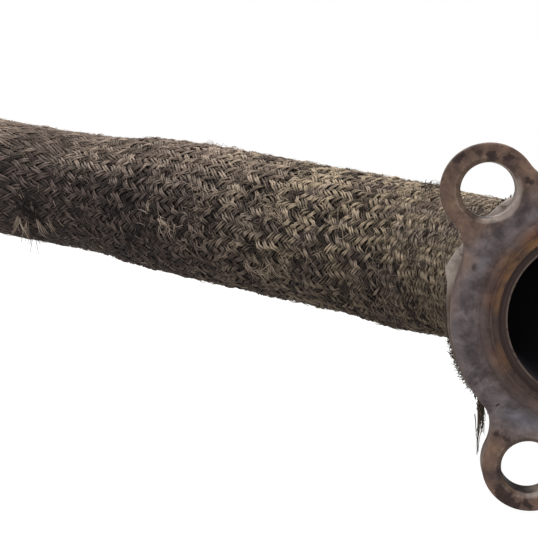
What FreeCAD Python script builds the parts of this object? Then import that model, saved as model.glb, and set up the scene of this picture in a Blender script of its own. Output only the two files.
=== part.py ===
"""Exhaust gas recirculation pipe with a braided heat sleeve.

Millimetres. The origin is the centre of the bore on the mounting face of the near flange.
+Y runs from that face into the pipe, the pipe bends towards -X, and +Z is up.
"""
import FreeCAD, Part
import math
import os

Vector = FreeCAD.Vector

# Route of the pipe's centre line, from the near mounting face to the far one
elbow_radius = 46.0
elbow_turn = 67.0
long_straight = 100.0
sweep_bend_radius = 120.0
sweep_bend_turn = 12.5
far_straight = 45.0

# Steel pipe
bore_radius = 13.7
pipe_wall = 1.5
pipe_end_recess = 0.7

# Bellows in the long straight
bellows_offset = 31.0
bellows_sheet = 0.5
bellows_roots = 10
bellows_fold_radius = 0.95
bellows_side = 0.2
bellows_lift = 1.1
cuff_length = 7.0
cuff_clearance = 0.05
cuff_overlap = 6.0
cuff_weld_leg = 0.8

# Three-eared flanges
flange_thickness = 4.0
flange_fit = 0.1
disc_land = 7.7
ear_standoff = 4.35
ear_count = 3
ear_wall = 3.2
ear_blend_radius = 7.0
bolt_hole_radius = 4.5
bolt_chamfer_width = 0.95
bolt_chamfer_depth = 0.45
flange_edge_round = 0.4
near_ear_angle = 17.5
far_ear_angle = 30.0
seal_bead_offset = 2.3
seal_bead_width = 1.8
seal_bead_height = 0.45

# Welds between the pipe and each flange
face_weld_width = 1.1
face_weld_depth = 1.3
face_weld_dish = 0.25
back_weld_leg = 2.0
weld_fullness = 0.6

# Pressed collars that hold the ends of the sleeve
collar_sheet = 1.0
collar_overhang = 0.9
collar_neck_length = 8.0
collar_bend_radius = 1.6
collar_clearance = 0.15
collar_bend_gap = 1.0

# Braided heat sleeve
sleeve_clearance = 0.15
sleeve_wall = 1.35
braid_ridge_height = 0.55
braid_groove_depth = 0.3
braid_columns = 24
braid_pitch = 4.4
braid_slant = 2.2
sleeve_tuck = 5.5
sleeve_swell = 1.1
sleeve_pinch = 1.0
far_pinch_length = 30.0
swell_ramp = 9.0

# Derived sizes
pipe_outer = bore_radius + pipe_wall
sleeve_inner = pipe_outer + sleeve_clearance
sleeve_outer = sleeve_inner + sleeve_wall
braid_crest = sleeve_outer + braid_ridge_height
neck_inner = braid_crest - sleeve_pinch + collar_clearance
disc_radius = pipe_outer + disc_land
bolt_circle_radius = disc_radius + ear_standoff
ear_radius = bolt_hole_radius + ear_wall
seal_bead_radius = pipe_outer + seal_bead_offset
collar_rim_radius = disc_radius + collar_overhang
collar_end = flange_thickness + collar_sheet + collar_neck_length
near_straight = collar_end + collar_bend_gap
elbow_length = elbow_radius * math.radians(elbow_turn)
sweep_length = sweep_bend_radius * math.radians(sweep_bend_turn)
elbow_end = near_straight + elbow_length
long_end = elbow_end + long_straight
sweep_end = long_end + sweep_length
route_end = sweep_end + far_straight
bellows_start = elbow_end + bellows_offset
bellows_fold_length = 2 * bellows_fold_radius * (2 * bellows_roots - 1)
bellows_end = bellows_start + 2 * cuff_length + bellows_fold_length
sleeve_start = collar_end - sleeve_tuck
sleeve_end = route_end - sleeve_start


def route_state(station):
    """Point on the centre line and its heading in degrees from +Y, at a distance along the route."""
    runs = [
        (near_straight, 0.0),
        (elbow_length, elbow_turn),
        (long_straight, 0.0),
        (sweep_length, sweep_bend_turn),
        (far_straight, 0.0),
    ]
    point = Vector(0, 0, 0)
    heading = 0.0
    left = station
    for index, (length, turn) in enumerate(runs):
        last = index == len(runs) - 1
        part = left if last else min(left, length)
        start = math.radians(heading)
        if turn == 0.0:
            point = point + Vector(-math.sin(start), math.cos(start), 0) * part
        else:
            radius = length / math.radians(turn)
            heading = heading + turn * part / length
            end = math.radians(heading)
            across = math.cos(end) - math.cos(start)
            along = math.sin(end) - math.sin(start)
            point = point + Vector(across, along, 0) * radius
        left = left - part
        if left <= 0:
            break
    return point, heading


def route_wire(start, end):
    """Straight and curved edges of the centre line between two stations."""
    marks = [near_straight, elbow_end, long_end, sweep_end]
    stations = [start] + [mark for mark in marks if start < mark < end] + [end]
    edges = []
    for first, second in zip(stations[:-1], stations[1:]):
        a, heading_a = route_state(first)
        b, heading_b = route_state(second)
        if abs(heading_b - heading_a) < 1e-6:
            edges.append(Part.LineSegment(a, b).toShape())
        else:
            middle, _ = route_state((first + second) / 2)
            edges.append(Part.Arc(a, middle, b).toShape())
    return Part.Wire(edges)


def rod(start, end, radius):
    """Round solid that follows the centre line."""
    point, heading = route_state(start)
    angle = math.radians(heading)
    circle = Part.Circle(point, Vector(-math.sin(angle), math.cos(angle), 0), radius)
    profile = Part.Wire([circle.toShape()])
    return route_wire(start, end).makePipeShell([profile], True, False)


def at_station(shape, station, backwards=False):
    """Moves a shape made along +Y from the origin to a station, facing on or back along the route."""
    point, heading = route_state(station)
    turn = heading + (180 if backwards else 0)
    placed = shape.copy()
    placed.Placement = FreeCAD.Placement(point, FreeCAD.Rotation(Vector(0, 0, 1), turn))
    return placed


def revolve(edges):
    """Turns a closed outline, given in the YX plane with X as the radius, about the Y axis."""
    face = Part.Face(Part.Wire(edges))
    solid = face.revolve(Vector(0, 0, 0), Vector(0, 1, 0), 360)
    return Part.Solid(solid) if solid.ShapeType != "Solid" else solid


def outline(points):
    """Straight edges round a list of (along, radius) corners."""
    corners = [Vector(radius, along, 0) for along, radius in points]
    closed = corners[1:] + corners[:1]
    return [Part.LineSegment(a, b).toShape() for a, b in zip(corners, closed)]


def arc(start, middle, end):
    """Curved edge through three (along, radius) points."""
    points = [Vector(radius, along, 0) for along, radius in (start, middle, end)]
    return Part.Arc(points[0], points[1], points[2]).toShape()


def line(start, end):
    """Straight edge between two (along, radius) points."""
    return Part.LineSegment(Vector(start[1], start[0], 0), Vector(end[1], end[0], 0)).toShape()


def ear_centre(index, first_angle):
    """Centre of one bolt ear on the mounting face."""
    angle = math.radians(first_angle + 360 * index / ear_count)
    return Vector(bolt_circle_radius * math.cos(angle), 0, bolt_circle_radius * math.sin(angle))


def flange(first_angle):
    """Plate with three blended ears, a bead round the bore and a groove for the face weld."""
    axis = Vector(0, 1, 0)
    centres = [ear_centre(index, first_angle) for index in range(ear_count)]
    plate = Part.makeCylinder(disc_radius, flange_thickness, Vector(0, 0, 0), axis)
    for centre in centres:
        plate = plate.fuse(Part.makeCylinder(ear_radius, flange_thickness, centre, axis))
    plate = plate.removeSplitter()
    corners = []
    for edge in plate.Edges:
        middle = edge.CenterOfMass
        flat = Vector(middle.x, 0, middle.z)
        on_disc = abs(flat.Length - disc_radius) < 1e-3
        on_ear = any(abs((flat - centre).Length - ear_radius) < 1e-3 for centre in centres)
        if on_disc and on_ear and len(edge.Vertexes) == 2:
            corners.append(edge)
    plate = plate.makeFillet(ear_blend_radius, corners)
    rims = [edge for edge in plate.Edges if edge.BoundBox.YLength < 1e-6]
    plate = plate.makeFillet(flange_edge_round, rims)

    bead = (seal_bead_width ** 2 / 4 + seal_bead_height ** 2) / (2 * seal_bead_height)
    bead_centre = Vector(0, bead - seal_bead_height, 0)
    plate = plate.fuse(Part.makeTorus(seal_bead_radius, bead, bead_centre, axis))

    hole = pipe_outer + flange_fit
    weld_edge = pipe_outer + face_weld_width
    bore = outline([
        (-flange_thickness, 0), (-flange_thickness, weld_edge), (0, weld_edge),
        (face_weld_depth, hole), (2 * flange_thickness, hole), (2 * flange_thickness, 0),
    ])
    plate = plate.cut(revolve(bore))
    depth = bolt_chamfer_depth
    wide = bolt_hole_radius + 2 * bolt_chamfer_width
    for centre in centres:
        hole_outline = outline([
            (-depth, 0), (-depth, wide), (depth, bolt_hole_radius),
            (flange_thickness - depth, bolt_hole_radius),
            (flange_thickness + depth, wide), (flange_thickness + depth, 0),
        ])
        cutter = revolve(hole_outline)
        cutter.translate(centre)
        plate = plate.cut(cutter)
    return plate


def face_weld():
    """Ring of weld in the groove between the pipe's end and the flange, a little hollow in front."""
    outer = pipe_outer + face_weld_width
    middle = (outer + pipe_outer) / 2
    slope = face_weld_width - flange_fit
    inner_end = (face_weld_depth, pipe_outer)
    groove_end = (face_weld_depth, outer - slope)
    return revolve([
        arc((0, outer), (face_weld_dish, middle), (0, pipe_outer)),
        line((0, pipe_outer), inner_end),
        line(inner_end, groove_end),
        line(groove_end, (0, outer)),
    ])


def back_weld():
    """Rounded fillet weld between the pipe and the back of the flange."""
    foot = (flange_thickness, pipe_outer + back_weld_leg)
    root = (flange_thickness, pipe_outer)
    toe = (flange_thickness + back_weld_leg, pipe_outer)
    swell = back_weld_leg * weld_fullness
    crown = (flange_thickness + swell, pipe_outer + swell)
    return revolve([line(root, foot), arc(foot, crown, toe), line(toe, root)])


def collar():
    """Pressed collar: a flat rim against the flange and a neck over the end of the sleeve."""
    front = flange_thickness
    back = front + collar_sheet
    end = collar_end
    neck_outer = neck_inner + collar_sheet
    bend = collar_bend_radius
    diagonal = 1 - math.sqrt(0.5)
    small = bend + collar_sheet
    bend_inside = arc(
        (back, neck_outer + bend),
        (back + bend * diagonal, neck_outer + bend * diagonal),
        (back + bend, neck_outer),
    )
    bend_outside = arc(
        (front + small, neck_inner),
        (front + small * diagonal, neck_inner + small * diagonal),
        (front, neck_inner + small),
    )
    rim = collar_rim_radius - collar_sheet / 2
    rolled = arc((front, rim), ((front + back) / 2, collar_rim_radius), (back, rim))
    return revolve([
        line((front, neck_inner + small), (front, rim)),
        rolled,
        line((back, rim), (back, neck_outer + bend)),
        bend_inside,
        line((back + bend, neck_outer), (end, neck_outer)),
        line((end, neck_outer), (end, neck_inner)),
        line((end, neck_inner), (front + small, neck_inner)),
        bend_outside,
    ])


def bellows_surface(side):
    """One skin of the folded wall as edges: side is +1 for the outer skin and -1 for the inner."""
    half = bellows_sheet / 2
    fold = bellows_fold_radius
    crest = pipe_outer + bellows_lift - half
    root = crest - 2 * fold - bellows_side
    root_radius = fold - side * half
    crest_radius = fold + side * half
    cuff = pipe_outer + cuff_clearance + half + side * half
    start = cuff_length
    edges = []
    here = (0, cuff)
    there = (start + side * half, cuff)
    edges.append(line(here, there))
    here = there
    for index in range(2 * bellows_roots - 1):
        middle = start + fold * (2 * index + 1)
        rooted = index % 2 == 0
        level = root + fold if rooted else crest - fold
        radius = root_radius if rooted else crest_radius
        tip = level - radius if rooted else level + radius
        edges.append(line(here, (middle - radius, level)))
        here = (middle + radius, level)
        edges.append(arc((middle - radius, level), (middle, tip), here))
    finish = start + bellows_fold_length
    there = (finish - side * half, cuff)
    edges.append(line(here, there))
    edges.append(line(there, (finish + cuff_length, cuff)))
    return edges


def bellows():
    """Folded thin tube with a plain cuff at each end, which slips over the pipe."""
    outer = bellows_surface(1)
    inner = bellows_surface(-1)
    length = 2 * cuff_length + bellows_fold_length
    low = pipe_outer + cuff_clearance
    high = low + bellows_sheet
    ends = [line((0, low), (0, high)), line((length, low), (length, high))]
    edges = Part.__sortEdges__(outer + inner + ends)
    return revolve(edges)


def cuff_weld():
    """Small bead between the pipe and the end of a bellows cuff."""
    height = cuff_clearance + bellows_sheet
    foot = (0, pipe_outer + height)
    root = (0, pipe_outer)
    toe = (-cuff_weld_leg, pipe_outer)
    crown = (-cuff_weld_leg * weld_fullness, pipe_outer + height * weld_fullness)
    return revolve([line(root, foot), arc(foot, crown, toe), line(toe, root)])


def pipe(start, end):
    """Steel tube between two stations."""
    return rod(start, end, pipe_outer).cut(rod(start, end, bore_radius))


def sleeve_swelling(station):
    """Change of the sleeve's outer radius: wider over the bellows, pinched in the elbow and far end."""
    before = (station - bellows_start + swell_ramp) / swell_ramp
    after = (bellows_end + swell_ramp - station) / swell_ramp
    near = (elbow_end - station) / swell_ramp
    far = (station - route_end + far_pinch_length) / swell_ramp
    wider = sleeve_swell * max(0.0, min(1.0, before, after))
    return wider - sleeve_pinch * max(0.0, min(1.0, max(near, far)))


def sleeve_hollow():
    """Solid of the room inside the sleeve: the pipe's path and a wider stretch over the bellows."""
    wide = sleeve_inner + sleeve_swell
    low = bellows_start - swell_ramp
    high = bellows_end + swell_ramp
    middle = outline([
        (0, 0), (0, sleeve_inner), (swell_ramp, wide), (high - low - swell_ramp, wide),
        (high - low, sleeve_inner), (high - low, 0),
    ])
    first = rod(sleeve_start, low, sleeve_inner)
    last = rod(high, sleeve_end, sleeve_inner)
    return first, at_station(revolve(middle), low), last


def braid_ring(station, lift, slant):
    """Corners of one zigzag ring of the braid, two for each column of slanting strands."""
    corners = []
    for index in range(2 * braid_columns):
        row = index % 4
        lean = (0, 0.5, 1, 0.5)[row]
        groove = braid_groove_depth if row % 2 == 0 else 0.0
        along = station + slant * (lean - 0.5)
        point, heading = route_state(along)
        turn = math.radians(heading)
        radius = sleeve_outer + sleeve_swelling(along) + max(0.0, lift - groove)
        angle = math.pi * index / braid_columns
        side = Vector(math.cos(turn), math.sin(turn), 0) * (radius * math.cos(angle))
        corners.append(point + side + Vector(0, 0, radius * math.sin(angle)))
    return corners


def triangle(a, b, c):
    """Flat three-cornered face."""
    return Part.Face(Part.makePolygon([a, b, c, a]))


def braided_sleeve():
    """Tube of braid: herringbone ridges outside and a smooth wall inside."""
    pitches = max(4, round((sleeve_end - sleeve_start - 2 * braid_slant) / braid_pitch))
    step = (sleeve_end - sleeve_start - 2 * braid_slant) / (2 * pitches)
    rings = [braid_ring(sleeve_start, 0.0, 0.0)]
    for index in range(2 * pitches + 1):
        lift = braid_ridge_height if index % 2 == 1 else 0.0
        rings.append(braid_ring(sleeve_start + braid_slant + step * index, lift, braid_slant))
    rings.append(braid_ring(sleeve_end, 0.0, 0.0))
    faces = []
    for near, far in zip(rings[:-1], rings[1:]):
        for index in range(2 * braid_columns):
            after = (index + 1) % (2 * braid_columns)
            faces.append(triangle(near[index], near[after], far[index]))
            faces.append(triangle(near[after], far[after], far[index]))
    for ring, station in ((rings[0], sleeve_start), (rings[-1], sleeve_end)):
        point, heading = route_state(station)
        turn = math.radians(heading)
        hole = Part.Circle(point, Vector(-math.sin(turn), math.cos(turn), 0), sleeve_inner)
        rim = Part.makePolygon(ring + ring[:1])
        faces.append(Part.Face([rim, Part.Wire([hole.toShape()])]))
    for piece in sleeve_hollow():
        for face in piece.Faces:
            flat = face.Surface.TypeId == "Part::GeomPlane"
            if not flat:
                faces.append(face)
    skin = Part.makeCompound(faces)
    skin.sewShape()
    shell = skin if skin.ShapeType == "Shell" else skin.Shells[0]
    solid = Part.Solid(shell)
    if solid.Volume < 0:
        solid.reverse()
    return solid


def save(name, shape):
    """Writes one node and reports its size."""
    solids = shape.Solids
    print(name, "solids", len(solids), "valid", shape.isValid(), "volume", round(shape.Volume, 1))
    result = solids[0] if len(solids) == 1 else Part.makeCompound(solids)
    result.exportStep(os.path.join("parts", name + ".step"))


os.makedirs("parts", exist_ok=True)
first_pipe_end = bellows_start + cuff_overlap
second_pipe_start = bellows_end - cuff_overlap

save("near_flange", flange(near_ear_angle))
save("near_face_weld", face_weld())
save("near_back_weld", back_weld())
save("near_collar", collar())
save("near_spigot", pipe(pipe_end_recess, near_straight))
save("near_elbow", pipe(near_straight, elbow_end))
save("near_run", pipe(elbow_end, first_pipe_end))
save("bellows", at_station(bellows(), bellows_start))
save("near_cuff_weld", at_station(cuff_weld(), bellows_start))
save("far_cuff_weld", at_station(cuff_weld(), bellows_end, True))
save("far_pipe", pipe(second_pipe_start, route_end - pipe_end_recess))
save("braided_sleeve", braided_sleeve())
save("far_collar", at_station(collar(), route_end, True))
save("far_back_weld", at_station(back_weld(), route_end, True))
save("far_face_weld", at_station(face_weld(), route_end, True))
save("far_flange", at_station(flange(far_ear_angle), route_end, True))
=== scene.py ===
"""Looks of a used exhaust gas recirculation pipe with a braided heat sleeve.

Metres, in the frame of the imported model: the near flange's mounting face is centred on the origin,
+Y runs into the pipe, the pipe bends towards -X and +Z is up.
"""

import logging
import math
from dataclasses import dataclass, field
from enum import Enum
from typing import Any, Optional, Union

import bmesh
import bpy
import numpy as np
from mathutils import Matrix, Vector


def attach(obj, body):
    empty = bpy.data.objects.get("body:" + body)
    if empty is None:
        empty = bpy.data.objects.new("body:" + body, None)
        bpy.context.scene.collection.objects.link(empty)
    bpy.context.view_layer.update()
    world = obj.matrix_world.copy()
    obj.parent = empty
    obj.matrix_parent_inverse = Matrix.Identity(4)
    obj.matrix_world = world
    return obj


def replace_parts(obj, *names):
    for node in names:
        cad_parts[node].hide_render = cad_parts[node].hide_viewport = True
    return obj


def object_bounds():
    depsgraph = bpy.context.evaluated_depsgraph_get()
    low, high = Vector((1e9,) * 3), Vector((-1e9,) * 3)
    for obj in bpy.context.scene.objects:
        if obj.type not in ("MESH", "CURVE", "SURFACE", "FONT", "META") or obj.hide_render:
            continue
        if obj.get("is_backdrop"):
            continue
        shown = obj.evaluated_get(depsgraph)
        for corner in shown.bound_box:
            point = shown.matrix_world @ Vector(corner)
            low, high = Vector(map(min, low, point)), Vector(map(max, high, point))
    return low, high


log = logging.getLogger("egr_pipe")
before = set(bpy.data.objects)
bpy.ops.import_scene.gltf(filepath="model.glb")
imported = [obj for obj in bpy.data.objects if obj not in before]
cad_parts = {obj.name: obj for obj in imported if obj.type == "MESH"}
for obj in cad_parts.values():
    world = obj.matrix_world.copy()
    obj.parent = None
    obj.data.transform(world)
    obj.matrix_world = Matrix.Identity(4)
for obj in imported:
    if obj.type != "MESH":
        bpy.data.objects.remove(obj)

MM = 0.001
STRAND_COLUMNS = ("along", "across", "tone", "height")
Colour = tuple[float, float, float]
Span = tuple[float, float]
Table = tuple[tuple[float, float], ...]
Number = Union[float, "Value"]


def tint(red: int, green: int, blue: int) -> Colour:
    """Turns a colour given as screen values of 0 to 255 into the renderer's linear values.

    Args:
        red: red on the screen.
        green: green on the screen.
        blue: blue on the screen.

    Returns:
        The linear colour.
    """
    def linear(level: int) -> float:
        """Undoes the screen curve for one channel."""
        part = level / 255
        return part / 12.92 if part <= 0.04045 else ((part + 0.055) / 1.055) ** 2.4
    return linear(red), linear(green), linear(blue)


class Value:
    """One output socket of a material, with Python's arithmetic on it."""

    def __init__(self, finish: "FinishTree", socket: Any) -> None:
        """Keeps the socket and the tree that new nodes go into."""
        self.finish = finish
        self.socket = socket

    def _maths(self, operation: str, first: Number, second: Number = 0.0) -> "Value":
        """Adds one Math node and returns its result."""
        return self.finish.node("ShaderNodeMath", {"operation": operation}, {0: first, 1: second})

    def __add__(self, other: Number) -> "Value":
        """Sum."""
        return self._maths("ADD", self, other)

    def __radd__(self, other: Number) -> "Value":
        """Sum with a number on the left."""
        return self._maths("ADD", other, self)

    def __sub__(self, other: Number) -> "Value":
        """Difference."""
        return self._maths("SUBTRACT", self, other)

    def __rsub__(self, other: Number) -> "Value":
        """Difference with a number on the left."""
        return self._maths("SUBTRACT", other, self)

    def __mul__(self, other: Number) -> "Value":
        """Product."""
        return self._maths("MULTIPLY", self, other)

    def __rmul__(self, other: Number) -> "Value":
        """Product with a number on the left."""
        return self._maths("MULTIPLY", other, self)

    def __truediv__(self, other: Number) -> "Value":
        """Quotient."""
        return self._maths("DIVIDE", self, other)

    def __rtruediv__(self, other: Number) -> "Value":
        """Quotient with a number on top."""
        return self._maths("DIVIDE", other, self)

    def __pow__(self, other: Number) -> "Value":
        """Power."""
        return self._maths("POWER", self, other)

    def __rpow__(self, other: Number) -> "Value":
        """Power of a number."""
        return self._maths("POWER", other, self)

    def largest(self, other: Number) -> "Value":
        """The larger of two values."""
        return self._maths("MAXIMUM", self, other)

    def rise(self, low: float, high: float) -> "Value":
        """Smooth step from 0 at low to 1 at high, or down from 1 to 0 if low is the larger.

        Args:
            low: value where the step is 0.
            high: value where the step is 1.

        Returns:
            The step.
        """
        falling = low > high
        first, last = (high, low) if falling else (low, high)
        step = self.finish.node(
            "ShaderNodeMapRange", {"interpolation_type": "SMOOTHSTEP"},
            {"Value": self, "From Min": first, "From Max": last},
        )
        return 1 - step if falling else step

    def ring(self, centre: float, half: float) -> "Value":
        """Soft band that is 1 at the centre and 0 a half-width away.

        Args:
            centre: value at the middle of the band.
            half: distance at which the band ends.

        Returns:
            The band.
        """
        away = self._maths("ABSOLUTE", self - centre)
        return away.rise(half, 0.0)


class FinishTree:
    """Node tree of one material."""

    def __init__(self, name: str) -> None:
        """Makes an empty material with an output node.

        Args:
            name: the material's name.
        """
        self.material = bpy.data.materials.new(name)
        self.material.use_nodes = True
        self.nodes = self.material.node_tree.nodes
        self.links = self.material.node_tree.links
        self.nodes.clear()
        self.output = self.nodes.new("ShaderNodeOutputMaterial")

    def node(
        self, kind: str, settings: Optional[dict[str, Any]] = None,
        sockets: Optional[dict[Union[str, int], Any]] = None, output: Union[str, int] = 0,
    ) -> Value:
        """Adds one node.

        Args:
            kind: Blender's type name for the node.
            settings: properties of the node, which are set first.
            sockets: values or links of its inputs, by name or number.
            output: the output that is wanted.

        Returns:
            The wanted output.
        """
        made = self.nodes.new(kind)
        for name, setting in (settings or {}).items():
            setattr(made, name, setting)
        for name, value in (sockets or {}).items():
            target = made.inputs[name]
            if isinstance(value, Value):
                self.links.new(value.socket, target)
            elif isinstance(value, tuple) and len(value) == 3 and len(target.default_value) == 4:
                target.default_value = (*value, 1.0)
            else:
                target.default_value = value
        return Value(self, made.outputs[output])

    def place(self) -> Value:
        """Object coordinates."""
        return self.node("ShaderNodeTexCoord", output="Object")

    def attribute(self, name: str) -> Value:
        """One number stored on the mesh."""
        return self.node("ShaderNodeAttribute", {"attribute_name": name}, output="Fac")

    def noise(
        self, where: Value, scale: float, detail: float = 3.0, rough: float = 0.55, warp: float = 0.0,
    ) -> Value:
        """Fractal noise of 0 to 1.

        Args:
            where: coordinates, in metres or in the units of an attribute.
            scale: features per unit.
            detail: number of octaves.
            rough: strength of the fine octaves.
            warp: how far the pattern is pulled about.

        Returns:
            The noise.
        """
        sockets = {"Vector": where, "Scale": scale, "Detail": detail, "Roughness": rough, "Distortion": warp}
        return self.node("ShaderNodeTexNoise", None, sockets, "Fac")

    def spots(self, where: Value, scale: float, randomness: float = 1.0) -> Value:
        """Distance to the nearest of many scattered points."""
        sockets = {"Vector": where, "Scale": scale, "Randomness": randomness}
        return self.node("ShaderNodeTexVoronoi", None, sockets, "Distance")

    def mix(self, factor: Number, first: Any, second: Any) -> Value:
        """Blend of two colours."""
        return self.node("ShaderNodeMix", {"data_type": "RGBA"}, {0: factor, 6: first, 7: second}, 2)

    def shade(self, factor: Number, first: Any, second: Any) -> Value:
        """Colour multiplied by another as far as the factor says."""
        settings = {"data_type": "RGBA", "blend_type": "MULTIPLY"}
        return self.node("ShaderNodeMix", settings, {0: factor, 6: first, 7: second}, 2)

    def vector(self, x: Number, y: Number, z: Number) -> Value:
        """Three values as one vector."""
        return self.node("ShaderNodeCombineXYZ", None, {0: x, 1: y, 2: z})

    def vector_maths(self, operation: str, first: Any, second: Any, output: str = "Vector") -> Value:
        """One Vector Math node."""
        return self.node("ShaderNodeVectorMath", {"operation": operation}, {0: first, 1: second}, output)

    def bump(self, height: Value, strength: float, distance: float) -> Value:
        """Normal of a surface with small relief."""
        sockets = {"Height": height, "Strength": strength, "Distance": distance}
        return self.node("ShaderNodeBump", None, sockets)

    def surface(self, **sockets: Any) -> bpy.types.Material:
        """Ends the tree with one Principled shader.

        Args:
            sockets: inputs of the shader, with underscores for the spaces in their names.

        Returns:
            The finished material.
        """
        named = {name.replace("_", " "): value for name, value in sockets.items()}
        shader = self.node("ShaderNodeBsdfPrincipled", None, named)
        self.links.new(shader.socket, self.output.inputs["Surface"])
        return self.material


@dataclass(frozen=True)
class Mark:
    """Soft round mark on a plate, placed from the bore's centre."""

    right: float
    rise: float
    radius: float
    strength: float = 1.0


def plate_marks(*rows: tuple[float, float, float, float]) -> tuple[Mark, ...]:
    """Marks from rows of four numbers: right, rise and radius in millimetres, and strength.

    Args:
        rows: one row for each mark.

    Returns:
        The marks, in metres.
    """
    return tuple(Mark(right * MM, rise * MM, radius * MM, strength) for right, rise, radius, strength in rows)


@dataclass(frozen=True)
class EndFrame:
    """Place and directions of one end of the pipe: out of its mouth, to its right and upwards."""

    centre: Vector
    axis: Vector
    across: Vector

    @property
    def up(self) -> Vector:
        """Direction upwards in the plane of the plate."""
        return self.across.cross(self.axis)

    def measure(self, tree: FinishTree) -> tuple[Value, Value, Value, Value]:
        """Distances from the end's centre.

        Args:
            tree: the material that reads them.

        Returns:
            The distance to the right, upwards, into the pipe, and from the axis.
        """
        place = tree.vector_maths("SUBTRACT", tree.place(), tuple(self.centre))
        right = tree.vector_maths("DOT_PRODUCT", place, tuple(self.across), "Value")
        rise = tree.vector_maths("DOT_PRODUCT", place, tuple(self.up), "Value")
        depth = tree.vector_maths("DOT_PRODUCT", place, tuple(self.axis), "Value")
        return right, rise, depth, (right * right + rise * rise) ** 0.5

    @staticmethod
    def spot(right: Value, rise: Value, mark: Mark) -> Value:
        """How near a point is to a mark: 1 at its middle and 0 at its edge.

        Args:
            right: distance to the right.
            rise: distance upwards.
            mark: the mark.

        Returns:
            The nearness.
        """
        side = right - mark.right
        height = rise - mark.rise
        away = (side * side + height * height) ** 0.5
        return away.rise(mark.radius, mark.radius * 0.35) * mark.strength


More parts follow.
